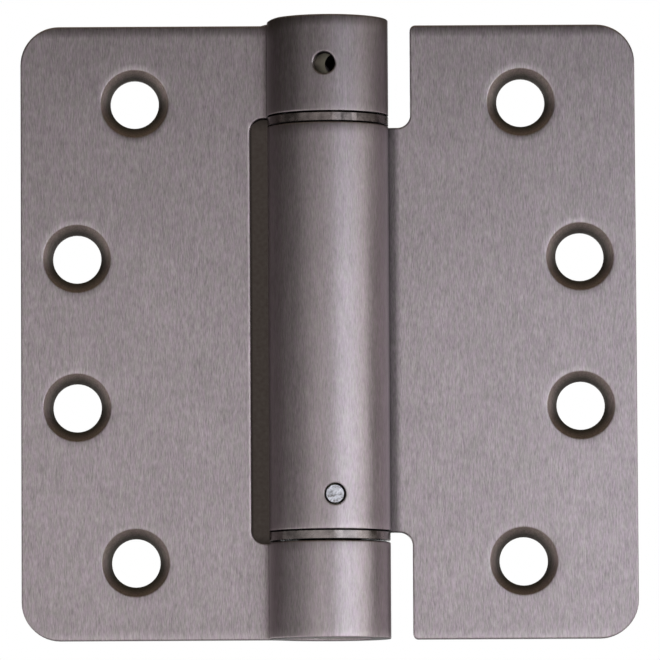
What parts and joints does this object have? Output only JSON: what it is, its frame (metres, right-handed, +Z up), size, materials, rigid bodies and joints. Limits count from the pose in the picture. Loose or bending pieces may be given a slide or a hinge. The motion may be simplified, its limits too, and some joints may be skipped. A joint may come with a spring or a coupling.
{
  "type": "spring loaded door hinge",
  "caption": "Spring loaded door hinge with two swaged leaves, a long middle barrel on flanged bearings and a torsion spring wound by a plug in its top knuckle.",
  "frame": {"origin": "on the pivot axis, halfway up the barrel, which is the centre of the open hinge's box", "axes": "+Z up along the pivot axis, -Y out of the countersunk faces towards the viewer, +X from the jamb leaf to the door leaf"},
  "size_m": [0.1016, 0.02, 0.1022],
  "materials": {
    "leaf_steel": "brushed satin nickel plate",
    "bearing_steel": "polished",
    "plug_steel": "turned, plated",
    "pin_steel": "sheared, bare",
    "spring_steel": "oiled spring wire"
  },
  "bodies": {
    "jamb_leaf": {"jamb_leaf": "leaf_steel", "lower_pivot": "plug_steel"},
    "door_leaf": {"door_leaf": "leaf_steel", "upper_bearing": "bearing_steel", "lower_bearing": "bearing_steel", "anchor_plug": "plug_steel", "anchor_pin": "pin_steel", "torsion_spring": "spring_steel"},
    "tension_plug": {"tension_plug": "plug_steel"}
  },
  "joints": [
    {"name": "leaf_swing", "type": "hinge", "parent": "jamb_leaf", "child": "door_leaf", "pos_m": [0, 0, 0], "axis": [0, 0, -1], "range_deg": [0, 180]},
    {"name": "tension_turn", "type": "hinge", "parent": "door_leaf", "child": "tension_plug", "pos_m": [0, 0, 0], "axis": [0, 0, -1], "range_deg": [0, 360], "stiffness_Nm_per_rad": 2.3, "deforming": ["torsion_spring"]}
  ]
}
